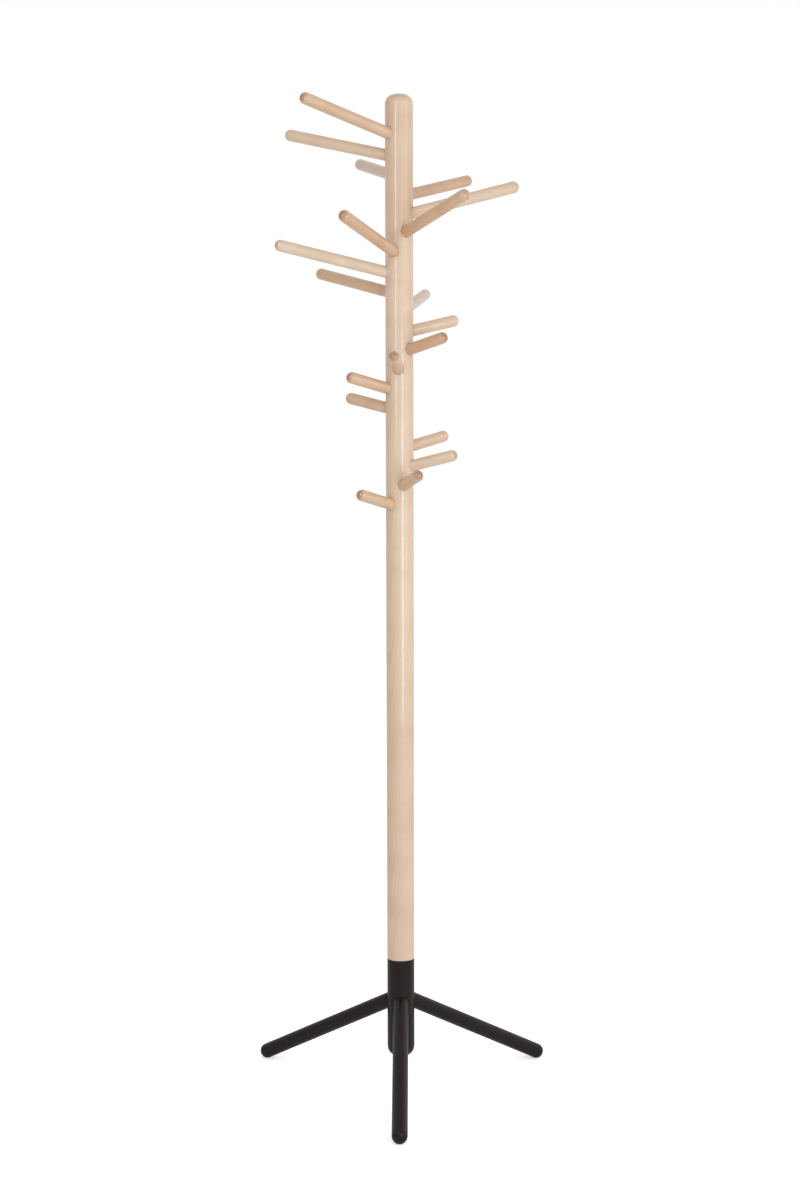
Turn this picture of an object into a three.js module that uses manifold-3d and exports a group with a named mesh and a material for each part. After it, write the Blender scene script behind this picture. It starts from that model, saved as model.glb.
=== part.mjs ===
// Standing coat rack: a round post with twenty tilted pegs, screwed to a round hub on three splayed legs.
// Millimetres, +Z up, front leg towards -Y. Turns are degrees clockwise from the front, seen from above.

import * as THREE from "three";
import { mergeVertices } from "three/addons/utils/BufferGeometryUtils.js";
import Module from "manifold-3d";

const wasm = await Module();
wasm.setup();

// Driving dimensions

const gap = 0.3; // clearance between pieces that touch

const postDiameter = 46;
const postLength = 1435;
const postTopRound = 15.4; // radius of the rounded top edge
const easedEdge = 0.8; // chamfer where the post and the hub meet

const pegDiameter = 19;
const pegTilt = 13.4; // degrees above level
const pegSeat = 26; // length of peg inside the post
const pegPitch = 31.7; // height from one peg to the next
const topPegDrop = 69.6; // from the top of the post down to the first peg's axis
const longPeg = 181; // length standing out of the post
const shortPeg = 79;
const pegOutBy = { peg_01: -5, peg_05: -3.5, peg_06: 2.5, peg_08: 5 }; // pegs cut shorter or longer than the rest
const longPegTurns = [52, 108, 159, 217, 275, 328, 26, 83, 135, 193];
const shortPegTurns = [258, 310, 5, 58, 117, 175, 233, 289, 341, 42];

const dowelChamfer = 1; // on the inner ends of pegs and legs

const legDiameter = 25.4;
const legSlope = 27.4; // degrees below level
const legReach = 275; // from the post's axis out to the centre of the leg's rounded end
const legTurns = { front: 0, rear_left: 120, rear_right: 240 };
const footFlat = 7; // width of the flat that each leg stands on

const hubAboveLegs = 63.5; // from where the legs' axes meet up to the top of the hub
const hubBelowLegs = 105; // and down to its underside
const hubBottomRound = 17.7; // radius of the rounded lower edge
const socketWall = 7.5; // wood left at the centre of the hub, behind each leg

const legBolt = { diameter: 8, inLeg: 36 };
const legInsert = { diameter: 12, length: 9 };
const postStud = { diameter: 10, length: 60 };
const studInsert = { diameter: 14, length: 25, flangeDiameter: 18, flange: 2 };

const facets = { post: 40, peg: 16, leg: 24, fixing: 16 };
const roundSteps = { post: 5, peg: 4, leg: 6 };

// Sizes that follow from them

const { degToRad } = THREE.MathUtils;
const postRadius = postDiameter / 2;
const pegRadius = pegDiameter / 2;
const legRadius = legDiameter / 2;

const footHeight = Math.sqrt(legRadius ** 2 - (footFlat / 2) ** 2); // centre of a leg's round end
const legMeeting = footHeight + legReach * Math.tan(degToRad(legSlope));
const legSeat = (legRadius + gap) / Math.tan(degToRad(60)) + socketWall; // inner end of a leg
const legEnd = legReach / Math.cos(degToRad(legSlope)); // centre of the round end, along the leg

const hubTop = legMeeting + hubAboveLegs;
const hubBottom = legMeeting - hubBelowLegs;
const postBottom = hubTop + gap;
const postTop = postBottom + postLength;

const pegStart = postRadius / Math.cos(degToRad(pegTilt)) - pegSeat; // along the peg, from the post's axis
const pegs = [
  ...longPegTurns.map((turn) => ({ turn, showing: longPeg })),
  ...shortPegTurns.map((turn) => ({ turn, showing: shortPeg })),
].map((peg, index) => {
  const name = `peg_${String(index + 1).padStart(2, "0")}`;
  const showing = peg.showing + (pegOutBy[name] ?? 0);
  return { ...peg, name, showing, height: postTop - topPegDrop - index * pegPitch };
});

// Materials

const wood = (color, roughness) => new THREE.MeshStandardMaterial({ color, roughness, metalness: 0 });
const metal = (color, roughness) => new THREE.MeshStandardMaterial({ color, roughness, metalness: 1 });
const paleWood = wood(0xe3c9a8, 0.45);
const blackWood = wood(0x2b2a2a, 0.4);
const steel = metal(0xb9bcc0, 0.35);
const brass = metal(0xc8a35a, 0.35);

// Shape helpers

// Points of a quarter circle or less, from one angle to another in degrees.
function arc(x, y, radius, from, to, steps) {
  return Array.from({ length: steps + 1 }, (_, i) => {
    const angle = degToRad(from + ((to - from) * i) / steps);
    return [x + radius * Math.cos(angle), y + radius * Math.sin(angle)];
  });
}

// Turns an outline of [radius, height] points about +Z.
function turned(outline, sides) {
  const points = outline.map(([radius, height]) => new THREE.Vector2(Math.max(radius, 0), height));
  return new THREE.LatheGeometry(points, sides).rotateX(Math.PI / 2);
}

// A plain rod along +Z.
function rod(radius, from, to, sides) {
  return turned([[0, from], [radius, from], [radius, to], [0, to]], sides);
}

// A dowel along +Z with a chamfered start and a round far end centred at `end`.
function dowel(radius, start, end, sides, steps) {
  const outline = [
    [0, start],
    [radius - dowelChamfer, start],
    [radius, start + dowelChamfer],
    ...arc(0, end, radius, 0, 90, steps),
  ];
  return turned(outline, sides);
}

// A threaded insert along +Z: a tube with a flange at its mouth, which is at the height `mouth`.
function insertTube({ radius, bore, length, flangeRadius, flange }, mouth) {
  return turned(
    [
      [bore, mouth - length],
      [radius, mouth - length],
      [radius, mouth - flange],
      [flangeRadius, mouth - flange],
      [flangeRadius, mouth],
      [bore, mouth],
      [bore, mouth - length],
    ],
    facets.fixing,
  );
}

// Places something built along +Z so that it crosses the post's axis at `height`, rising by `rise` degrees.
function aim(height, rise, turn) {
  const euler = new THREE.Euler(degToRad(90 - rise), 0, degToRad(-turn), "ZYX");
  return new THREE.Matrix4().makeRotationFromEuler(euler).setPosition(0, 0, height);
}

function toSolid(geometry) {
  const bare = geometry.clone();
  bare.deleteAttribute("normal");
  bare.deleteAttribute("uv");
  const merged = mergeVertices(bare);
  const index = merged.index.array;
  const triVerts = [];
  for (let i = 0; i < index.length; i += 3) {
    const [a, b, c] = [index[i], index[i + 1], index[i + 2]];
    if (a !== b && b !== c && c !== a) triVerts.push(a, b, c);
  }
  const vertProperties = Float32Array.from(merged.attributes.position.array);
  return new wasm.Manifold(
    new wasm.Mesh({ numProp: 3, vertProperties, triVerts: Uint32Array.from(triVerts) }),
  );
}

function toGeometry(solid) {
  const mesh = solid.getMesh();
  const geometry = new THREE.BufferGeometry();
  geometry.setAttribute("position", new THREE.BufferAttribute(mesh.vertProperties, 3));
  geometry.setIndex(new THREE.BufferAttribute(mesh.triVerts, 1));
  geometry.computeVertexNormals();
  return geometry;
}

function cut(geometry, cutters) {
  const solid = cutters.reduce((rest, cutter) => rest.subtract(toSolid(cutter)), toSolid(geometry));
  return toGeometry(solid);
}

function piece(name, geometry, material, matrix = new THREE.Matrix4()) {
  const mesh = new THREE.Mesh(geometry, material);
  mesh.name = name;
  matrix.decompose(mesh.position, mesh.quaternion, mesh.scale);
  return mesh;
}

// Post and pegs

// The stepped hole for a flanged insert and the stud, open at `mouth` and running to +Z or -Z.
function studHole(mouth, direction) {
  const at = (depth) => mouth + direction * depth;
  const steps = [
    [studInsert.flangeDiameter / 2 + gap, -1, studInsert.flange + 2 * gap],
    [studInsert.diameter / 2 + gap, 0, studInsert.length + 2 * gap],
    [postStud.diameter / 2 + gap, 0, postStud.length / 2 + 2 * gap],
  ];
  return steps.map(([radius, from, to]) => {
    const [low, high] = [at(from), at(to)].sort((a, b) => a - b);
    return rod(radius, low, high, facets.fixing);
  });
}

function makePost() {
  const round = arc(postRadius - postTopRound, postTop - postTopRound, postTopRound, 0, 90, roundSteps.post);
  const blank = turned(
    [[0, postBottom], [postRadius - easedEdge, postBottom], [postRadius, postBottom + easedEdge], ...round,
      [0, postTop]],
    facets.post,
  );
  const sockets = pegs.map(({ height, turn }) =>
    rod(pegRadius + gap, pegStart - gap, postDiameter, facets.peg).applyMatrix4(aim(height, pegTilt, turn)));
  return piece("post", cut(blank, [...sockets, ...studHole(postBottom, 1)]), paleWood);
}

function makePeg({ name, turn, height, showing }) {
  const end = pegStart + pegSeat + showing - pegRadius;
  const shape = dowel(pegRadius, pegStart, end, facets.peg, roundSteps.peg);
  return piece(name, shape, paleWood, aim(height, pegTilt, turn));
}

// Hub and legs

const legInsertStart = legSeat - gap - legInsert.length; // inner end, along the leg
const legAim = (turn) => aim(legMeeting, -legSlope, turn);

function makeHub() {
  const round = arc(postRadius - hubBottomRound, hubBottom + hubBottomRound, hubBottomRound, -90, 0,
    roundSteps.post);
  const blank = turned(
    [[0, hubBottom], ...round, [postRadius, hubTop - easedEdge], [postRadius - easedEdge, hubTop], [0, hubTop]],
    facets.post,
  );
  const sockets = Object.values(legTurns).flatMap((turn) => [
    rod(legRadius + gap, legSeat - gap, postDiameter, facets.leg).applyMatrix4(legAim(turn)),
    rod(legInsert.diameter / 2 + gap, legInsertStart - gap, legSeat, facets.fixing).applyMatrix4(legAim(turn)),
  ]);
  return piece("hub", cut(blank, [...sockets, ...studHole(hubTop, -1)]), blackWood);
}

function makeLeg([place, turn]) {
  const blank = dowel(legRadius, legSeat, legEnd, facets.leg, roundSteps.leg);
  const boltHole = rod(legBolt.diameter / 2 + gap, 0, legSeat + legBolt.inLeg + gap, facets.fixing);
  const floor = new THREE.BoxGeometry(legDiameter * 2, legDiameter * 2, legDiameter)
    .translate(0, -legReach, -legDiameter / 2)
    .applyMatrix4(legAim(0).invert());
  return piece(`leg_${place}`, cut(blank, [boltHole, floor]), blackWood, legAim(turn));
}

// Fixings

function makeLegFixings([place, turn]) {
  const boltRadius = legBolt.diameter / 2;
  const bolt = rod(boltRadius, legInsertStart, legSeat + legBolt.inLeg, facets.fixing);
  const insert = turned(
    [
      [boltRadius + gap, legInsertStart],
      [legInsert.diameter / 2, legInsertStart],
      [legInsert.diameter / 2, legSeat - gap],
      [boltRadius + gap, legSeat - gap],
      [boltRadius + gap, legInsertStart],
    ],
    facets.fixing,
  );
  return [
    piece(`leg_bolt_${place}`, bolt, steel, legAim(turn)),
    piece(`leg_insert_${place}`, insert, brass, legAim(turn)),
  ];
}

function makeStudAndInserts() {
  const studMiddle = (hubTop + postBottom) / 2;
  const stud = rod(postStud.diameter / 2, studMiddle - postStud.length / 2, studMiddle + postStud.length / 2,
    facets.fixing);
  const tube = {
    radius: studInsert.diameter / 2,
    bore: postStud.diameter / 2 + gap,
    length: studInsert.length,
    flangeRadius: studInsert.flangeDiameter / 2,
    flange: studInsert.flange,
  };
  const inHub = insertTube(tube, hubTop - gap);
  const inPost = insertTube(tube, 0).rotateX(Math.PI).translate(0, 0, postBottom + gap);
  return [
    piece("post_stud", stud, steel),
    piece("hub_insert", inHub, brass),
    piece("post_insert", inPost, brass),
  ];
}

// Assembly

const legs = Object.entries(legTurns);
const rack = new THREE.Group();
rack.add(makePost(), ...pegs.map(makePeg));
rack.add(makeHub(), ...legs.map(makeLeg));
rack.add(...legs.flatMap(makeLegFixings), ...makeStudAndInserts());

// The origin is on the floor, under the middle of the whole rack.
const bounds = new THREE.Box3().setFromObject(rack, true);
const middle = bounds.getCenter(new THREE.Vector3());
rack.position.set(-middle.x, -middle.y, -bounds.min.z);

export default rack;
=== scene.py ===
import math

import bmesh
import bpy
import numpy as np
from mathutils import Matrix, Vector
from mathutils.geometry import delaunay_2d_cdt


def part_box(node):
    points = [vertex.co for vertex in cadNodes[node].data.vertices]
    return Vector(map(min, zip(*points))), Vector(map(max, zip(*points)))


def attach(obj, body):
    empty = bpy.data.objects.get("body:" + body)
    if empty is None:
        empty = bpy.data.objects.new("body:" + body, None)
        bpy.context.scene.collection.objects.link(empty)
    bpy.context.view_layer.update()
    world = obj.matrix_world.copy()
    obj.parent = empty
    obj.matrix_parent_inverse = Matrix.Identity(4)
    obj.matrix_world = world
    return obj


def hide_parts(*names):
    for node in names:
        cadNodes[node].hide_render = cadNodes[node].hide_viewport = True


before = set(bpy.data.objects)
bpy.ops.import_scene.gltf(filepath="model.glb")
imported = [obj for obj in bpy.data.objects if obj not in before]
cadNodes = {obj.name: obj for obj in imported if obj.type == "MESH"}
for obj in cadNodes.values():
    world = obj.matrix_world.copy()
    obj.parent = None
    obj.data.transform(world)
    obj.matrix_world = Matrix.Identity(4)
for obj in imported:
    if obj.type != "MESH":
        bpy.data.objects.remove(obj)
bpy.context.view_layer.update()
up = Vector((0, 0, 1))
upright = Matrix.Identity(4)  # for the pieces that stand in the frame's own axes
mm = 0.001
touching = 0.002 * mm  # points closer than this are the same point
sharpAngle = math.radians(35)  # edges bent more than this stay crisp
print("frame loaded:", len(cadNodes), "CAD nodes")


# Measuring the CAD solids

postLow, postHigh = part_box("post")
hubLow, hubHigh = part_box("hub")
postAxis = Vector(((postLow.x + postHigh.x) / 2, (postLow.y + postHigh.y) / 2, 0))
bodyRadius = (postHigh.x - postLow.x) / 2  # of the post and the hub
ringSlack = 0.5 * mm  # how far a ring's corners may stray along its axis


def cornersOf(name):
    mesh = cadNodes[name].data
    flat = np.empty(len(mesh.vertices) * 3, np.float32)
    mesh.vertices.foreach_get("co", flat)
    return np.unique(flat.reshape(-1, 3).astype(float).round(6), axis=0)


def alongLine(name, start, direction):
    # how far along a line each corner of a solid lies, and how far from it
    offset = cornersOf(name) - np.array(start)
    heights = offset @ np.array(direction)
    distances = np.linalg.norm(offset - np.outer(heights, direction), axis=1)
    return heights, distances


def measureStick(name):
    # a peg's or leg's axis runs through the rings at the ends of its longest plain stretch
    corners = cornersOf(name) - np.array(postAxis)
    middle = corners.mean(axis=0)
    direction = np.linalg.svd(corners - middle, full_matrices=False)[2][0]
    if direction[:2] @ middle[:2] < 0:
        direction = -direction
    heights = (corners - middle) @ direction
    ordered = np.sort(heights)
    stretch = int(np.argmax(np.diff(ordered)))
    rings = [corners[np.abs(heights - ordered[k]) < ringSlack] for k in (stretch, stretch + 1)]
    start, end = [Vector(ring.mean(axis=0)) for ring in rings]
    line = (end - start).normalized()
    reach = (corners - np.array(start)) @ np.array(line)
    inner = start + line * float(reach.min())
    return {
        "name": name,
        "inner": inner,  # centre of the inner end, with the post's axis as the origin
        "direction": line,
        "length": float(reach.max() - reach.min()),
        "radius": float(np.linalg.norm(rings[1] - np.array(end), axis=1).mean()),
        "boreRadius": float(np.linalg.norm(rings[0] - np.array(start), axis=1).max()),
        "boreDepth": -float(reach.min()),
    }


pegNames = sorted(name for name in cadNodes if name.startswith("peg_"))
fixingWords = ("bolt", "stud", "insert")
woodenNames = [name for name in cadNodes if not any(word in name for word in fixingWords)]
legNames = sorted(name for name in woodenNames if name.startswith("leg_"))
pegSticks = [measureStick(name) for name in pegNames]
legSticks = [measureStick(name) for name in legNames]
print("measured", len(pegSticks), "pegs and", len(legSticks), "legs")


# Mesh helpers

def arcPoints(x, y, radius, start, end, steps):
    # an arc round (x, y), between two angles in degrees
    angles = [math.radians(start + (end - start) * k / steps) for k in range(steps + 1)]
    return [(x + radius * math.cos(a), y + radius * math.sin(a)) for a in angles]


def bridge(bm, first, second):
    # a band of faces between two rings, or a fan where one of them is a single point
    count = max(len(first), len(second))
    for k in range(count):
        j = (k + 1) % count
        lower = [first[k % len(first)], first[j % len(first)]]
        upper = [second[j % len(second)], second[k % len(second)]]
        bm.faces.new(list(dict.fromkeys(lower + upper)))


def lathe(bm, outline, sides):
    # turns an outline of (radius, height) about Z; a radius of 0 makes a single point
    rings = []
    for radius, height in outline:
        count = sides if radius > 0 else 1
        angles = [2 * math.pi * k / count for k in range(count)]
        rings.append([bm.verts.new((radius * math.cos(a), radius * math.sin(a), height)) for a in angles])
    for first, second in zip(rings, rings[1:]):
        bridge(bm, first, second)


def finishMesh(bm, name, matrix=upright):
    # welds, smooths and puts the mesh in its place round the post's axis
    bmesh.ops.remove_doubles(bm, verts=bm.verts, dist=touching)
    bmesh.ops.recalc_face_normals(bm, faces=bm.faces)
    mesh = bpy.data.meshes.new(name)
    bm.to_mesh(mesh)
    bm.free()
    mesh.polygons.foreach_set("use_smooth", [True] * len(mesh.polygons))
    mesh.set_sharp_from_angle(angle=sharpAngle)
    mesh.transform(Matrix.Translation(postAxis) @ matrix)
    piece = bpy.data.objects.new(name, mesh)
    bpy.context.scene.collection.objects.link(piece)
    return piece


def keepWallTrue(piece, radius, low, high):
    # the round wall shades as a true cylinder, whatever its triangles are
    mesh = piece.data
    normals = [Vector(corner.vector) for corner in mesh.corner_normals]
    for face in mesh.polygons:
        for k in face.loop_indices:
            point = mesh.vertices[mesh.loops[k].vertex_index].co - postAxis
            outward = Vector((point.x, point.y, 0))
            onWall = abs(outward.length - radius) < touching and low < point.z < high
            facesOut = face.normal.dot(outward.normalized()) > 0.99
            if onWall and facesOut:
                normals[k] = outward.normalized()
    mesh.normals_split_custom_set(normals)


def place(piece, node, material):
    # the piece takes over from one CAD node and rides the rack's only body
    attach(piece, "root")
    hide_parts(node)
    piece.data.materials.append(material)


# Holes drilled into a round body

def roundStick(stick, rho, count):
    # offsets from a stick's axis to the points of a ring round it
    side = stick["direction"].cross(up).normalized()
    lift = side.cross(stick["direction"])
    angles = [2 * math.pi * k / count for k in range(count)]
    return [rho * (math.cos(a) * side + math.sin(a) * lift) for a in angles]


def drillRing(stick, rho, count, sink=0.0):
    # the ring where a round hole on a stick's axis meets the body's wall
    line = stick["direction"]
    a = line.x ** 2 + line.y ** 2
    ring = []
    for offset in roundStick(stick, rho, count):
        point = stick["inner"] + offset
        # going t along the line reaches the wall where a * t * t + 2 * b * t + c = 0
        b = point.x * line.x + point.y * line.y
        c = point.x ** 2 + point.y ** 2 - bodyRadius ** 2
        point = point + line * ((math.sqrt(b * b - a * c) - b) / a)
        outward = Vector((point.x, point.y, 0)).normalized()
        ring.append(point - outward * sink)
    return ring


def levelRing(stick, rho, height, count):
    # a ring square to the stick's axis
    centre = stick["inner"] + stick["direction"] * height
    return [centre + offset for offset in roundStick(stick, rho, count)]


def drillSocket(bm, stick, rim, hole, floor):
    # from the rim on the wall, over an eased lip, down the socket and across its floor
    count = hole["sides"]
    lip = hole["lip"]
    radius = stick["radius"] + hole["clearance"]
    rings = [drillRing(stick, radius + lip, count)]
    for step in range(1, hole["lipSteps"] + 1):
        angle = math.radians(90 * step / hole["lipSteps"])
        sink = lip * (1 - math.cos(angle))
        rings.append(drillRing(stick, radius + lip * (1 - math.sin(angle)), count, sink))
    rings.append(drillRing(stick, radius, count, lip + hole["hold"]))
    for rho, height in floor:
        rings.append(levelRing(stick, rho, height, count if rho > 0 else 1))
    previous = rim
    for ring in rings:
        made = [bm.verts.new(point) for point in ring]
        bridge(bm, previous, made)
        previous = made


def rimRadius(stick, hole):
    # the wall's own faces stop this far from the socket's axis
    return stick["radius"] + hole["clearance"] + hole["lip"] + hole["hold"]


def insideHole(point, stick, rho):
    # the far side of the wall lies behind the stick's inner end and doesn't count
    offset = point - stick["inner"]
    along = offset.dot(stick["direction"])
    return along > 0 and (offset - stick["direction"] * along).length < rho


def drilledBand(bm, low, high, sticks, hole, sides, rows):
    # one band of the wall, unrolled flat, triangulated round its holes and rolled up again
    circle = 2 * math.pi
    step = circle / sides
    turns = [math.atan2(stick["direction"].y, stick["direction"].x) for stick in sticks]
    clearOf = [min(abs(math.remainder(k * step - turn, circle)) for turn in turns) for k in range(sides)]
    seam = clearOf.index(max(clearOf)) * step  # the cut runs as far from the holes as it can
    heights = [low + (high - low) * j / rows for j in range(rows + 1)]
    rims = [drillRing(stick, rimRadius(stick, hole), hole["sides"]) for stick in sticks]

    def roll(u, z):
        angle = seam + u / bodyRadius
        return Vector((bodyRadius * math.cos(angle), bodyRadius * math.sin(angle), z))

    flat = []
    solid = []
    gridIndex = {}
    for j, z in enumerate(heights):
        for k in range(sides + 1):
            point = roll(k * step * bodyRadius, z)
            onBorder = j in (0, rows) or k in (0, sides)
            near = [insideHole(point, stick, stick["radius"] + hole["keepOff"]) for stick in sticks]
            if onBorder or not any(near):
                gridIndex[j, k] = len(flat)
                flat.append(Vector((k * step * bodyRadius, z)))
                solid.append(point)
    border = [gridIndex[0, k] for k in range(sides)]
    border += [gridIndex[j, sides] for j in range(rows)]
    border += [gridIndex[rows, k] for k in range(sides, 0, -1)]
    border += [gridIndex[j, 0] for j in range(rows, 0, -1)]
    # each rim joins the flat pattern as a closed loop
    loops = []
    for rim in rims:
        loops.append(list(range(len(flat), len(flat) + len(rim))))
        for point in rim:
            angle = (math.atan2(point.y, point.x) - seam) % circle
            flat.append(Vector((angle * bodyRadius, point.z)))
            solid.append(point)
    edges = [(loop[k], loop[(k + 1) % len(loop)]) for loop in loops for k in range(len(loop))]
    insideOnly = 1  # nothing beyond the border is filled
    tolerance = 1e-5  # in millimetres, like the points given here
    found = delaunay_2d_cdt([point / mm for point in flat], edges, [border], insideOnly, tolerance)
    triangles, cameFrom = found[2], found[3]
    made = [bm.verts.new(point) for point in solid]
    # the faces inside a rim are left out
    for face in triangles:
        corners = [cameFrom[k][0] for k in face]
        middle = sum((flat[k] for k in corners), Vector((0, 0))) / len(corners)
        point = roll(middle.x, middle.y)
        drilled = [insideHole(point, stick, rimRadius(stick, hole)) for stick in sticks]
        if not any(drilled):
            bm.faces.new([made[k] for k in corners])
    return [[made[k] for k in loop] for loop in loops]


def studBore(insert, stud, mouth, way, clearance):
    # outline of the stepped hole for an insert and the stud, from its far end to its mouth;
    # way is 1 for a hole that runs up from its mouth and -1 for one that runs down
    heights, distances = alongLine(insert, postAxis, up)
    levels = sorted(np.unique(heights.round(5)) * way)
    flangeEnd, bodyEnd = [level * way for level in levels[1:]]
    studHeights, studDistances = alongLine(stud, postAxis, up)
    studEnd = max(studHeights * way) * way
    rise = way * clearance
    narrow = studDistances.max() + clearance
    body = distances[np.abs(heights - bodyEnd) < ringSlack].max() + clearance
    flange = distances.max() + clearance
    return [
        (0, studEnd + rise),
        (narrow, studEnd + rise),
        (narrow, bodyEnd + rise),
        (body, bodyEnd + rise),
        (body, flangeEnd + rise),
        (flange, flangeEnd + rise),
        (flange, mouth),
    ]


# Timber, shared by the pale and the black wood

def addNode(tree, kind, inputs=None, **settings):
    # an input is either a socket to link or a plain value
    made = tree.nodes.new("ShaderNode" + kind)
    for key, value in settings.items():
        setattr(made, key, value)
    for key, value in (inputs or {}).items():
        if isinstance(value, bpy.types.NodeSocket):
            tree.links.new(value, made.inputs[key])
        else:
            made.inputs[key].default_value = value
    return made


def mathNode(tree, operation, *values):
    return addNode(tree, "Math", dict(enumerate(values)), operation=operation).outputs[0]


def vectorMath(tree, operation, first, second):
    return addNode(tree, "VectorMath", {0: first, 1: second}, operation=operation).outputs[0]


def scaled(tree, vector, factor):
    return addNode(tree, "VectorMath", {0: vector, "Scale": factor}, operation="SCALE").outputs[0]


def noise(tree, vector, detail, scale=1.0):
    return addNode(tree, "TexNoise", {"Vector": vector, "Scale": scale, "Detail": detail}).outputs


def ramp(tree, value, fromMin, fromMax, toMin=0.0, toMax=1.0, smooth=True):
    inputs = {"Value": value, "From Min": fromMin, "From Max": fromMax, "To Min": toMin, "To Max": toMax}
    kind = "SMOOTHSTEP" if smooth else "LINEAR"
    return addNode(tree, "MapRange", inputs, interpolation_type=kind).outputs["Result"]


def stretched(tree, position, scale):
    return vectorMath(tree, "MULTIPLY", position, scale)


def mixColour(tree, factor, first, second):
    # 0, 6 and 7 are the factor and the two colours, and 2 is the mixed colour
    inputs = {0: factor, 6: first, 7: second}
    return addNode(tree, "Mix", inputs, data_type="RGBA").outputs[2]


# three numbers are scales along X, Y and the fibres; pairs are where a mask starts and is full
grain = {
    "seedShift": (1.37, 2.11, 0.73),  # how far one step of the seed moves the patterns
    "ringSpacing": 2.6 * mm,  # between growth rings
    "pithOffset": 0.055,  # how far outside the piece the tree's centre lay
    "taper": 0.035,  # how fast the rings drift along a piece
    "waver": 0.010,  # how far the rings wander
    "waverStretch": (1, 1, 0.22),
    "waverScale": 16,
    "lateWood": (0.45, 0.93),  # each ring darkens over this share of its width
    "ringEdge": (1.0, 0.95),  # and ends sharply
    "yearScale": 3.7,
    "yearMask": (0.3, 0.7),
    "faintestYear": 0.3,
    "fibre": (1500, 1500, 38),
    "pores": (620, 620, 62),
    "poreMask": (0.24, 0.10),
    "poreCrowds": (150, 150, 30),
    "poreCrowdMask": (0.4, 0.6),
    "mottle": (24, 24, 5),
    "mottleMask": (0.28, 0.72),
    "figure": (13, 13, 21),
    "figureMask": (0.4, 0.68),
    "endMask": (0.2, 1.0),  # how squarely the surface cuts the fibres
    "fibreRelief": 0.5,
    "poreRelief": 0.6,
}


def makeTimberGroup():
    tree = bpy.data.node_groups.new("timber grain", "ShaderNodeTree")
    for name, kind in (("Position", "Vector"), ("Facing", "Vector"), ("Seed", "Float")):
        tree.interface.new_socket(name=name, in_out="INPUT", socket_type="NodeSocket" + kind)
    for name in ("Rings", "Fibre", "Pores", "Mottle", "Figure", "End Grain", "Relief"):
        tree.interface.new_socket(name=name, in_out="OUTPUT", socket_type="NodeSocketFloat")
    given = tree.nodes.new("NodeGroupInput").outputs
    taken = tree.nodes.new("NodeGroupOutput").inputs
    shift = scaled(tree, grain["seedShift"], given["Seed"])
    spot = vectorMath(tree, "ADD", given["Position"], shift)

    # growth rings round a pith that lies off to one side
    stretch = stretched(tree, spot, grain["waverStretch"])
    wander = noise(tree, stretch, detail=2, scale=grain["waverScale"])["Color"]
    warp = scaled(tree, vectorMath(tree, "SUBTRACT", wander, (0.5, 0.5, 0.5)), grain["waver"])
    bent = addNode(tree, "SeparateXYZ", {0: vectorMath(tree, "ADD", given["Position"], warp)}).outputs
    pithX = mathNode(tree, "MULTIPLY", mathNode(tree, "COSINE", given["Seed"]), grain["pithOffset"])
    pithY = mathNode(tree, "MULTIPLY", mathNode(tree, "SINE", given["Seed"]), grain["pithOffset"])
    across = mathNode(tree, "POWER", mathNode(tree, "SUBTRACT", bent[0], pithX), 2.0)
    beside = mathNode(tree, "POWER", mathNode(tree, "SUBTRACT", bent[1], pithY), 2.0)
    drift = mathNode(tree, "MULTIPLY", bent[2], grain["taper"])
    fromPith = mathNode(tree, "SQRT", mathNode(tree, "ADD", across, beside))
    turns = mathNode(tree, "DIVIDE", mathNode(tree, "ADD", fromPith, drift), grain["ringSpacing"])
    phase = mathNode(tree, "FRACT", turns)
    edge = ramp(tree, phase, *grain["ringEdge"])
    late = mathNode(tree, "MULTIPLY", ramp(tree, phase, *grain["lateWood"]), edge)
    whichYear = {"W": mathNode(tree, "FLOOR", turns), "Scale": grain["yearScale"]}
    year = addNode(tree, "TexNoise", whichYear, noise_dimensions="1D").outputs[0]
    strength = ramp(tree, year, *grain["yearMask"], grain["faintestYear"], 1.0)
    tree.links.new(mathNode(tree, "MULTIPLY", late, strength), taken["Rings"])

    # long fibres, short pore marks, broad cloudy streaks and patches that lie across them
    fibre = noise(tree, stretched(tree, spot, grain["fibre"]), detail=3)[0]
    tree.links.new(fibre, taken["Fibre"])
    cells = addNode(tree, "TexVoronoi", {"Vector": stretched(tree, spot, grain["pores"]), "Scale": 1})
    dense = noise(tree, stretched(tree, spot, grain["poreCrowds"]), detail=1)[0]
    short = ramp(tree, cells.outputs["Distance"], *grain["poreMask"])
    marks = mathNode(tree, "MULTIPLY", short, ramp(tree, dense, *grain["poreCrowdMask"]))
    tree.links.new(marks, taken["Pores"])
    for socket, kind in (("Mottle", "mottle"), ("Figure", "figure")):
        cloud = noise(tree, stretched(tree, spot, grain[kind]), detail=3)[0]
        tree.links.new(ramp(tree, cloud, *grain[kind + "Mask"]), taken[socket])

    # the rounded ends cut across the fibres
    facing = addNode(tree, "SeparateXYZ", {0: given["Facing"]}).outputs[2]
    endwise = mathNode(tree, "ABSOLUTE", facing)
    tree.links.new(ramp(tree, endwise, *grain["endMask"]), taken["End Grain"])

    # fibres stand up a little and pores sink in
    high = mathNode(tree, "MULTIPLY", fibre, grain["fibreRelief"])
    low = mathNode(tree, "MULTIPLY", marks, grain["poreRelief"])
    tree.links.new(mathNode(tree, "SUBTRACT", high, low), taken["Relief"])
    return tree


timberGroup = makeTimberGroup()


def newMaterial(name):
    material = bpy.data.materials.new(name)
    material.use_nodes = True
    tree = material.node_tree
    tree.nodes.clear()
    output = tree.nodes.new("ShaderNodeOutputMaterial")
    shader = tree.nodes.new("ShaderNodeBsdfPrincipled")
    tree.links.new(shader.outputs[0], output.inputs[0])
    return material, tree, shader


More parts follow.
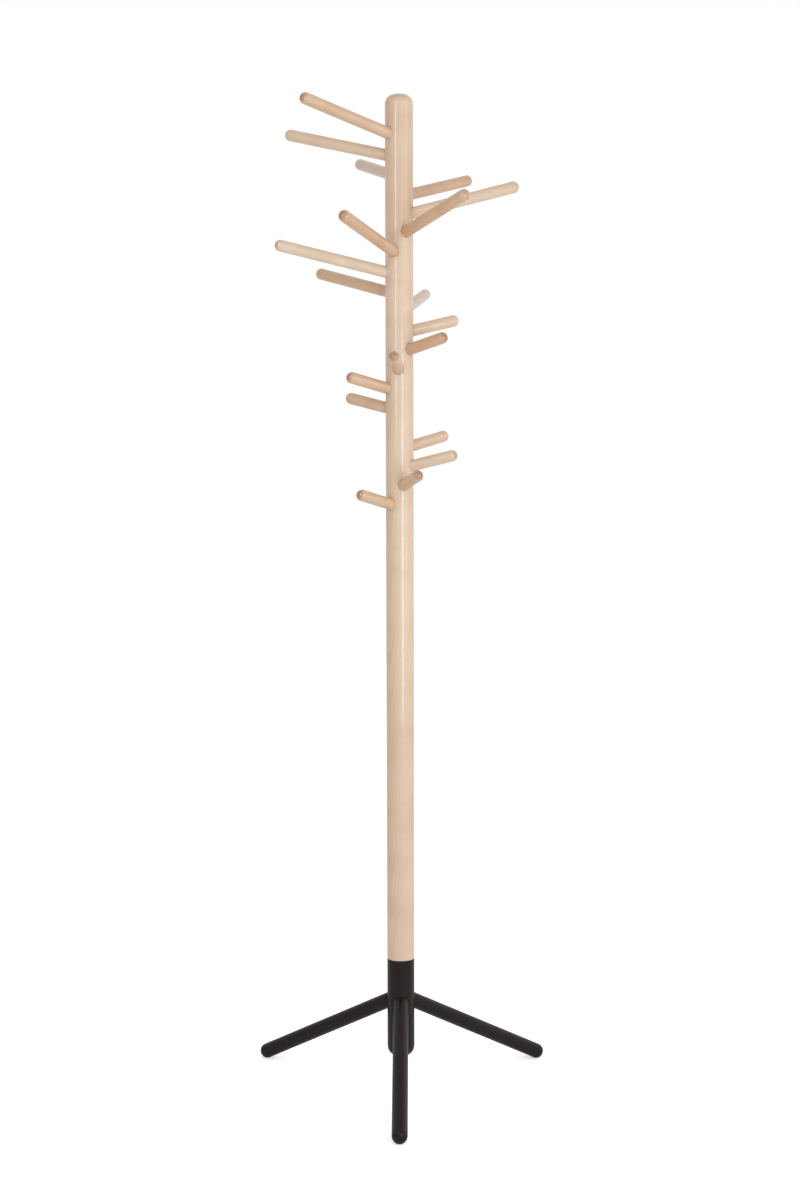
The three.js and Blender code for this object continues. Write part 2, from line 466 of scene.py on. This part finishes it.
def timberNodes(tree, seed, matrix):
    # the fibres run along the piece's own axis, the Z of its matrix
    where = addNode(tree, "TexCoord").outputs
    turn = matrix.to_euler()
    start = matrix.translation + postAxis
    local = {"Vector": where["Object"], "Location": start, "Rotation": turn}
    facing = {"Vector": where["Normal"], "Rotation": turn}
    group = addNode(tree, "Group", node_tree=timberGroup)
    for socket, inputs in (("Position", local), ("Facing", facing)):
        mapping = addNode(tree, "Mapping", inputs, vector_type="TEXTURE")
        tree.links.new(mapping.outputs[0], group.inputs[socket])
    group.inputs["Seed"].default_value = seed
    return group.outputs


maple = {
    "pale": (0.698, 0.514, 0.379),
    "mid": (0.629, 0.422, 0.276),
    "brown": (0.592, 0.355, 0.207),
    # painted sheen: a washed-out grey laid into the wood's colour, standing in for the reflection a peg
    # catches at a grazing angle
    "sheenGrey": (0.620, 0.480, 0.404),
    "endGrain": (0.34, 0.155, 0.086),
    "roughness": (0.36, 0.48),
    "endRoughness": 0.06,
    "coat": (0.6, 1.0),  # along the sides and on the rounded ends
    "coatRoughness": 0.13,
    "bump": 0.06 * mm,
    "shade": (0.95, 0.91, 0.87),  # the colour of the darker fibres, as a share of the wood's own
    "line": (0.84, 0.76, 0.68),  # and of the rings, pores and figure
    "streaks": 0.5,
    "figure": 0.55,
    "rings": 0.55,
    "pores": 0.45,
}
fibreMask = (0.3, 0.75)  # where the streaks of colour start and are full
fibreRange = (0.3, 0.7)  # the fibre values that the roughness runs between


def tinted(tree, mask, strength, body, tint):
    # lays a colour over the body where the mask is bright
    return mixColour(tree, mathNode(tree, "MULTIPLY", mask, strength), body, (*tint, 1))


def between(first, second, share):
    return tuple(a + (b - a) * share for a, b in zip(first, second))


def makeMaple(name, matrix, seed, tone, endTone, sheenGrey=0.0):
    # tone runs from 0, the palest wood, through 0.5 to 1, the brownest
    if tone < 0.5:
        colour = between(maple["pale"], maple["mid"], tone * 2)
    else:
        colour = between(maple["mid"], maple["brown"], tone * 2 - 1)
    # painted sheen: the wood is drawn towards grey where a peg's grazing reflection is painted into its
    # colour
    colour = between(colour, maple["sheenGrey"], sheenGrey)
    shade = tuple(c * s for c, s in zip(colour, maple["shade"]))
    line = tuple(c * s for c, s in zip(colour, maple["line"]))
    material, tree, shader = newMaterial(name)
    wood = timberNodes(tree, seed, matrix)
    body = mixColour(tree, wood["Mottle"], (*colour, 1), (*shade, 1))
    streaks = ramp(tree, wood["Fibre"], *fibreMask, 0.0, maple["streaks"])
    body = mixColour(tree, streaks, body, (*shade, 1))
    body = tinted(tree, wood["Figure"], maple["figure"], body, line)
    body = tinted(tree, wood["Rings"], maple["rings"], body, line)
    body = tinted(tree, wood["Pores"], maple["pores"], body, line)
    body = tinted(tree, wood["End Grain"], endTone, body, maple["endGrain"])
    tree.links.new(body, shader.inputs["Base Color"])
    sides = ramp(tree, wood["Fibre"], *fibreRange, *maple["roughness"], smooth=False)
    # the ends are polished: 0 is the Mix node's factor, 2 and 3 its plain numbers
    polished = addNode(tree, "Mix", {0: wood["End Grain"], 2: sides, 3: maple["endRoughness"]})
    tree.links.new(polished.outputs[0], shader.inputs["Roughness"])
    coat = ramp(tree, wood["End Grain"], 0.0, 1.0, *maple["coat"])
    tree.links.new(coat, shader.inputs["Coat Weight"])
    bump = addNode(tree, "Bump", {"Height": wood["Relief"], "Distance": maple["bump"], "Strength": 1.0})
    tree.links.new(bump.outputs[0], shader.inputs["Normal"])
    shader.inputs["Coat Roughness"].default_value = maple["coatRoughness"]
    return material


blackStain = {
    "flat": (0.0085, 0.0040, 0.0036),
    "worn": (0.0150, 0.0072, 0.0060),
    "roughness": (0.34, 0.44),
    "specular": 0.15,
    "coat": 0.12,
    "coatRoughness": 0.14,
    "bump": 0.05 * mm,
    "clouds": 0.5,  # how much worn colour the clouding and the rings let through
    "rings": 0.5,
}


def makeBlackWood(name, matrix, seed):
    material, tree, shader = newMaterial(name)
    wood = timberNodes(tree, seed, matrix)
    flat = (*blackStain["flat"], 1)
    body = tinted(tree, wood["Mottle"], blackStain["clouds"], flat, blackStain["worn"])
    body = tinted(tree, wood["Rings"], blackStain["rings"], body, blackStain["worn"])
    tree.links.new(body, shader.inputs["Base Color"])
    rough = ramp(tree, wood["Fibre"], *fibreRange, *blackStain["roughness"], smooth=False)
    tree.links.new(rough, shader.inputs["Roughness"])
    inputs = {"Height": wood["Relief"], "Distance": blackStain["bump"], "Strength": 1.0}
    bump = addNode(tree, "Bump", inputs)
    tree.links.new(bump.outputs[0], shader.inputs["Normal"])
    shader.inputs["Specular IOR Level"].default_value = blackStain["specular"]
    shader.inputs["Coat Weight"].default_value = blackStain["coat"]
    shader.inputs["Coat Roughness"].default_value = blackStain["coatRoughness"]
    return material


# Pegs

pegShape = {
    "sides": 48,
    "chamfer": 1 * mm,
    "hold": 0.4 * mm,  # a narrow plain ring beside each eased edge
    "domeSteps": 14,
    "seed": 3.1,
    "seedStep": 1.7,
}
# how brown each peg's wood is, the ten long pegs and then the ten short ones, each from the top down
pegTones = [
    0.55, 0.25, 0.4, 0.85, 0.1, 0.9, 0.9, 0.0, 0.7, 0.1,
    0.2, 1.0, 0.7, 0.8, 0.65, 0.5, 0.4, 0.1, 0.7, 0.65,
]
# and how dark the wood of its rounded end is
endTones = [
    0.95, 0.3, 0.5, 0.8, 0.35, 0.45, 0.9, 0.65, 0.6, 0.8,
    0.05, 1.0, 0.95, 0.9, 0.25, 0.6, 0.2, 0.65, 1.0, 0.9,
]
# painted sheen: these two back pegs are tinted grey to stand in for the washed-out reflection they catch
# at a grazing angle
sheenGreyPegs = {"peg_03": 0.4, "peg_10": 0.9}


def stickOutline(stick, shape, inside):
    # from the points inside the inner end, out round its chamfer and along to the rounded tip
    radius, length = stick["radius"], stick["length"]
    dome = arcPoints(0, length - radius, radius, 0, 90, shape["domeSteps"])
    dome[-1] = (0, length)  # the tip is a single point
    return inside + [
        (radius - shape["chamfer"], 0),
        (radius, shape["chamfer"]),
        (radius, shape["chamfer"] + shape["hold"]),
        (radius, length - radius - shape["hold"]),
    ] + dome


def stickMatrix(stick):
    turn = stick["direction"].to_track_quat("Z", "Y").to_matrix().to_4x4()
    return Matrix.Translation(stick["inner"]) @ turn


def makePeg(index, stick):
    bm = bmesh.new()
    lathe(bm, stickOutline(stick, pegShape, [(0, 0)]), pegShape["sides"])
    matrix = stickMatrix(stick)
    name = stick["name"]
    peg = finishMesh(bm, "visual_" + name, matrix)
    seed = pegShape["seed"] + pegShape["seedStep"] * index
    # how far this peg's colour is greyed by the painted sheen
    sheenGrey = sheenGreyPegs.get(name, 0.0)
    wood = makeMaple("maple " + name, matrix, seed, pegTones[index], endTones[index], sheenGrey)
    place(peg, name, wood)


for index, stick in enumerate(pegSticks):
    makePeg(index, stick)
print("pegs made")


# Post

postShape = {
    "sides": 72,
    "bandRows": 8,
    "topRound": 15.4 * mm,
    "topSteps": 14,
    "lowerEdge": 0.8 * mm,
    "edgeSteps": 4,
    "hold": 0.3 * mm,
    "plainRows": 24,  # below the pegs
    "clearance": 0.3 * mm,
    "seed": 0.6,
    "tone": 0.22,
    "endTone": 0.4,
}
pegHole = {
    "sides": 40,
    "lip": 0.35 * mm,  # the eased edge of the socket's mouth
    "lipSteps": 3,
    "hold": 0.3 * mm,
    "clearance": 0.12 * mm,
    "keepOff": 1.5 * mm,  # the wall's grid starts this far from the peg
}


def wallCentre(stick):
    # the height of the middle of a stick's socket on the wall, from its sides, top and bottom
    heights = [point.z for point in drillRing(stick, stick["radius"], 4)]
    return (min(heights) + max(heights)) / 2


def makePost():
    bm = bmesh.new()
    sides = postShape["sides"]
    bottom, top = postLow.z, postHigh.z
    edge, hold = postShape["lowerEdge"], postShape["hold"]
    ordered = sorted(pegSticks, key=wallCentre)
    centres = [wallCentre(stick) for stick in ordered]
    halfPitch = (centres[-1] - centres[0]) / (len(centres) - 1) / 2
    levels = [centres[0] - halfPitch]
    levels += [(a + b) / 2 for a, b in zip(centres, centres[1:])]
    levels.append(centres[-1] + halfPitch)
    # the bore, the eased lower edge and the plain wall below the pegs
    outline = studBore("post_insert", "post_stud", bottom, 1, postShape["clearance"])
    outline += arcPoints(bodyRadius - edge, bottom + edge, edge, -90, 0, postShape["edgeSteps"])
    outline.append((bodyRadius, bottom + edge + hold))
    rows = postShape["plainRows"]
    outline += [(bodyRadius, bottom + (levels[0] - bottom) * k / rows) for k in range(1, rows + 1)]
    lathe(bm, outline, sides)
    # one band of wall for each peg
    for stick, low, high in zip(ordered, levels, levels[1:]):
        rim = drilledBand(bm, low, high, [stick], pegHole, sides, postShape["bandRows"])[0]
        radius = stick["radius"] + pegHole["clearance"]
        floor = [(radius, hold), (radius, -postShape["clearance"]), (0, -postShape["clearance"])]
        drillSocket(bm, stick, rim, pegHole, floor)
    turn = postShape["topRound"]
    crown = [(bodyRadius, levels[-1]), (bodyRadius, top - turn - hold)]
    crown += arcPoints(bodyRadius - turn, top - turn, turn, 0, 90, postShape["topSteps"])
    crown += [(bodyRadius - turn - hold, top), (0, top)]
    lathe(bm, crown, sides)
    post = finishMesh(bm, "visual_post")
    keepWallTrue(post, bodyRadius, bottom + edge, top - turn)
    seed, tone, endTone = postShape["seed"], postShape["tone"], postShape["endTone"]
    wood = makeMaple("maple post", upright, seed, tone, endTone)
    place(post, "post", wood)


makePost()
print("post made")


# Hub and legs

hubShape = {
    "sides": 72,
    "bandRows": 14,
    "bandReach": 26 * mm,  # the drilled band, above and below the sockets' middle
    "bottomRound": 17.7 * mm,
    "bottomSteps": 14,
    "topEdge": 0.8 * mm,
    "edgeSteps": 4,
    "hold": 0.3 * mm,
    "clearance": 0.3 * mm,
    "seed": 2.3,
}
legHole = {
    "sides": 56,
    "lip": 0.5 * mm,
    "lipSteps": 3,
    "hold": 0.4 * mm,
    "clearance": 0.12 * mm,
    "keepOff": 1.7 * mm,
}
legShape = {
    "sides": 64,
    "chamfer": 1 * mm,
    "hold": 0.4 * mm,
    "domeSteps": 16,
    "seed": 5.2,
    "seedStep": 2.9,
}


def makeHub():
    bm = bmesh.new()
    sides = hubShape["sides"]
    bottom, top = hubLow.z, hubHigh.z
    turn, edge, hold = hubShape["bottomRound"], hubShape["topEdge"], hubShape["hold"]
    middle = sum(wallCentre(stick) for stick in legSticks) / len(legSticks)
    low, high = middle - hubShape["bandReach"], middle + hubShape["bandReach"]
    outline = [(0, bottom), (bodyRadius - turn - hold, bottom)]
    outline += arcPoints(bodyRadius - turn, bottom + turn, turn, -90, 0, hubShape["bottomSteps"])
    outline += [(bodyRadius, bottom + turn + hold), (bodyRadius, low)]
    lathe(bm, outline, sides)
    rims = drilledBand(bm, low, high, legSticks, legHole, sides, hubShape["bandRows"])
    for stick, rim in zip(legSticks, rims):
        # the socket goes on past the leg's end, as a bore for the leg's insert
        insert = stick["name"].replace("leg_", "leg_insert_")
        heights, distances = alongLine(insert, postAxis + stick["inner"], stick["direction"])
        gap = hubShape["clearance"]
        radius = stick["radius"] + legHole["clearance"]
        bore, end = float(distances.max()) + gap, float(heights.min()) - gap
        floor = [(radius, hold), (radius, -gap), (bore, -gap), (bore, end), (0, end)]
        drillSocket(bm, stick, rim, legHole, floor)
    outline = [(bodyRadius, high), (bodyRadius, top - edge - hold)]
    outline += arcPoints(bodyRadius - edge, top - edge, edge, 0, 90, hubShape["edgeSteps"])
    outline += reversed(studBore("hub_insert", "post_stud", top, -1, hubShape["clearance"]))
    lathe(bm, outline, sides)
    hub = finishMesh(bm, "visual_hub")
    keepWallTrue(hub, bodyRadius, bottom + turn, top - edge)
    wood = makeBlackWood("black stained hub", upright, hubShape["seed"])
    place(hub, "hub", wood)


def makeLeg(index, stick):
    bm = bmesh.new()
    radius, depth = stick["boreRadius"], stick["boreDepth"]
    bore = [(0, depth), (radius, depth), (radius, 0)]  # for the hanger bolt
    lathe(bm, stickOutline(stick, legShape, bore), legShape["sides"])
    matrix = stickMatrix(stick)
    # the foot is cut flat where it stands on the floor
    back = matrix.inverted()
    cut = bmesh.ops.bisect_plane(
        bm,
        geom=bm.verts[:] + bm.edges[:] + bm.faces[:],
        dist=0.0001 * mm,
        plane_co=back @ Vector((0, 0, 0)),
        plane_no=back.to_3x3() @ -up,
        clear_outer=True,
    )
    edges = [item for item in cut["geom_cut"] if isinstance(item, bmesh.types.BMEdge)]
    bmesh.ops.contextual_create(bm, geom=edges)
    name = stick["name"]
    leg = finishMesh(bm, "visual_" + name, matrix)
    seed = legShape["seed"] + legShape["seedStep"] * index
    place(leg, name, makeBlackWood("black stained " + name, matrix, seed))


makeHub()
for index, stick in enumerate(legSticks):
    makeLeg(index, stick)
print("hub and legs made")


# Fixings keep their CAD shapes

fixings = {
    "steel": {"colour": (0.56, 0.57, 0.58), "shade": (0.44, 0.45, 0.46), "roughness": (0.26, 0.42)},
    "brass": {"colour": (0.72, 0.50, 0.20), "shade": (0.56, 0.36, 0.13), "roughness": (0.24, 0.40)},
    "cloudScale": 260,
    "colourMask": (0.35, 0.65),
    "roughMask": (0.3, 0.7),
    "toolMarks": (300, 300, 4000),
    "markDepth": 0.02 * mm,
    "markStrength": 0.6,
}


def makeMetal(name, look):
    material, tree, shader = newMaterial(name)
    where = addNode(tree, "TexCoord").outputs["Object"]
    cloud = noise(tree, where, 4, fixings["cloudScale"])[0]
    mask = ramp(tree, cloud, *fixings["colourMask"])
    colour = mixColour(tree, mask, (*look["colour"], 1), (*look["shade"], 1))
    tree.links.new(colour, shader.inputs["Base Color"])
    rough = ramp(tree, cloud, *fixings["roughMask"], *look["roughness"])
    tree.links.new(rough, shader.inputs["Roughness"])
    marks = noise(tree, stretched(tree, where, fixings["toolMarks"]), 1)[0]
    depth, strength = fixings["markDepth"], fixings["markStrength"]
    bump = addNode(tree, "Bump", {"Height": marks, "Distance": depth, "Strength": strength})
    tree.links.new(bump.outputs[0], shader.inputs["Normal"])
    shader.inputs["Metallic"].default_value = 1.0
    return material


zincSteel = makeMetal("zinc plated steel", fixings["steel"])
brassMetal = makeMetal("machined brass", fixings["brass"])
for name, node in cadNodes.items():
    if name not in woodenNames:
        metal = brassMetal if "insert" in name else zincSteel
        node.data.materials.clear()
        node.data.materials.append(metal)
print("fixings finished")


# Floor, light and camera

studio = {
    "floorSize": 12.0,
    "floorWhite": 0.92,
    "floorRoughness": 0.9,
    "floorSpecular": 0.1,
    "floorGlow": 0.42,  # seen by the camera only
    "backdrop": 1.0,
}
# how bright each side of the white room is
room = {"left": 0.63, "right": 0.9, "front": 0.86, "back": 0.86, "above": 0.75, "below": 0.85}
# azimuths are in degrees to the left of the camera's side, distances are from the post's axis,
# and each light is turned towards a height on that axis
softboxes = [
    {"name": "left tall box", "azimuth": 28, "distance": 1.25, "height": 1.55, "aimHeight": 1.55,
     "size": (0.12, 0.85), "power": 3.8, "colour": (0.70, 0.88, 1.0)},
    {"name": "right tall box", "azimuth": -24, "distance": 1.25, "height": 0.88, "aimHeight": 0.88,
     "size": (0.22, 0.86), "power": 6.2, "colour": (0.56, 0.82, 1.0)},
    {"name": "front right wash", "azimuth": -30, "distance": 3.4, "height": 1.6, "aimHeight": 0.95,
     "size": (1.2, 1.6), "power": 4.4, "colour": (1.0, 0.98, 0.96)},
    {"name": "right wash", "azimuth": -62, "distance": 2.6, "height": 1.3, "aimHeight": 0.95,
     "size": (1.4, 1.8), "power": 8.8, "colour": (1.0, 0.99, 0.98)},
    {"name": "back right wash", "azimuth": -115, "distance": 2.4, "height": 1.3, "aimHeight": 0.95,
     "size": (1.4, 1.8), "power": 2.0, "colour": (1.0, 1.0, 1.0)},
]


def makeFloor():
    bm = bmesh.new()
    half = studio["floorSize"] / 2
    square = ((-half, -half), (half, -half), (half, half), (-half, half))
    bm.faces.new([bm.verts.new((x, y, 0)) for x, y in square])
    mesh = bpy.data.meshes.new("floor")
    bm.to_mesh(mesh)
    bm.free()
    floor = bpy.data.objects.new("floor", mesh)
    bpy.context.scene.collection.objects.link(floor)
    material, tree, shader = newMaterial("white studio floor")
    white = studio["floorWhite"]
    shader.inputs["Base Color"].default_value = (white, white, white, 1)
    shader.inputs["Roughness"].default_value = studio["floorRoughness"]
    shader.inputs["Specular IOR Level"].default_value = studio["floorSpecular"]
    shader.inputs["Emission Color"].default_value = (1, 1, 1, 1)
    seen = addNode(tree, "LightPath").outputs["Is Camera Ray"]
    glow = mathNode(tree, "MULTIPLY", seen, studio["floorGlow"])
    tree.links.new(glow, shader.inputs["Emission Strength"])
    mesh.materials.append(material)


def makeSky():
    # a white room whose six sides are not equally bright, fading softly into each other
    world = bpy.data.worlds.new("white room")
    bpy.context.scene.world = world
    world.use_nodes = True
    tree = world.node_tree
    tree.nodes.clear()
    toward = addNode(tree, "TexCoord").outputs["Generated"]
    share = []
    for way, sides in ((1, ("right", "back", "above")), (-1, ("left", "front", "below"))):
        facing = vectorMath(tree, "MAXIMUM", stretched(tree, toward, (way, way, way)), (0, 0, 0))
        squared = vectorMath(tree, "MULTIPLY", facing, facing)
        bright = [room[side] for side in sides]
        lit = addNode(tree, "VectorMath", {0: squared, 1: bright}, operation="DOT_PRODUCT")
        share.append(lit.outputs["Value"])
    glow = mathNode(tree, "ADD", *share)
    seen = addNode(tree, "Background", {"Color": (1, 1, 1, 1), "Strength": studio["backdrop"]})
    felt = addNode(tree, "Background", {"Color": (1, 1, 1, 1), "Strength": glow})
    path = addNode(tree, "LightPath")
    choice = {0: path.outputs["Is Camera Ray"], 1: felt.outputs[0], 2: seen.outputs[0]}
    both = addNode(tree, "MixShader", choice)
    output = tree.nodes.new("ShaderNodeOutputWorld")
    tree.links.new(both.outputs[0], output.inputs[0])


def makeSoftbox(box):
    light = bpy.data.lights.new(box["name"], "AREA")
    light.shape = "RECTANGLE"
    light.size, light.size_y = box["size"]
    light.energy = box["power"]
    light.color = box["colour"]
    lamp = bpy.data.objects.new(box["name"], light)
    turn = math.radians(box["azimuth"])
    offset = Vector((-math.sin(turn), -math.cos(turn), 0)) * box["distance"]
    lamp.location = postAxis + offset + up * box["height"]
    away = offset + up * (box["height"] - box["aimHeight"])
    lamp.rotation_euler = away.to_track_quat("Z", "Y").to_euler()  # a light shines down its own -Z
    lamp.visible_camera = False
    bpy.context.scene.collection.objects.link(lamp)


view = {
    "right": 0.028,  # metres from the post's axis
    "back": 3.146,
    "height": 1.1002,
    "down": 4.95,  # degrees
    "left": 0.51,
    "roll": 0.132,
    "lens": 56.9,
}


def makeCamera():
    down, left, roll = [math.radians(view[key]) for key in ("down", "left", "roll")]
    ahead = Vector((-math.sin(left) * math.cos(down), math.cos(left) * math.cos(down), -math.sin(down)))
    level = ahead.cross(up).normalized()
    right = (level * math.cos(roll) + ahead.cross(level) * math.sin(roll)).normalized()
    over = right.cross(ahead)
    matrix = Matrix((right, over, -ahead)).transposed().to_4x4()
    matrix.translation = postAxis + Vector((view["right"], -view["back"], view["height"]))
    data = bpy.data.cameras.new("camera")
    data.lens = view["lens"]
    camera = bpy.data.objects.new("camera", data)
    camera.matrix_world = matrix
    bpy.context.scene.collection.objects.link(camera)
    bpy.context.scene.camera = camera


makeFloor()
makeSky()
for box in softboxes:
    makeSoftbox(box)
makeCamera()
bpy.context.scene.view_settings.view_transform = "Standard"
print("studio made")
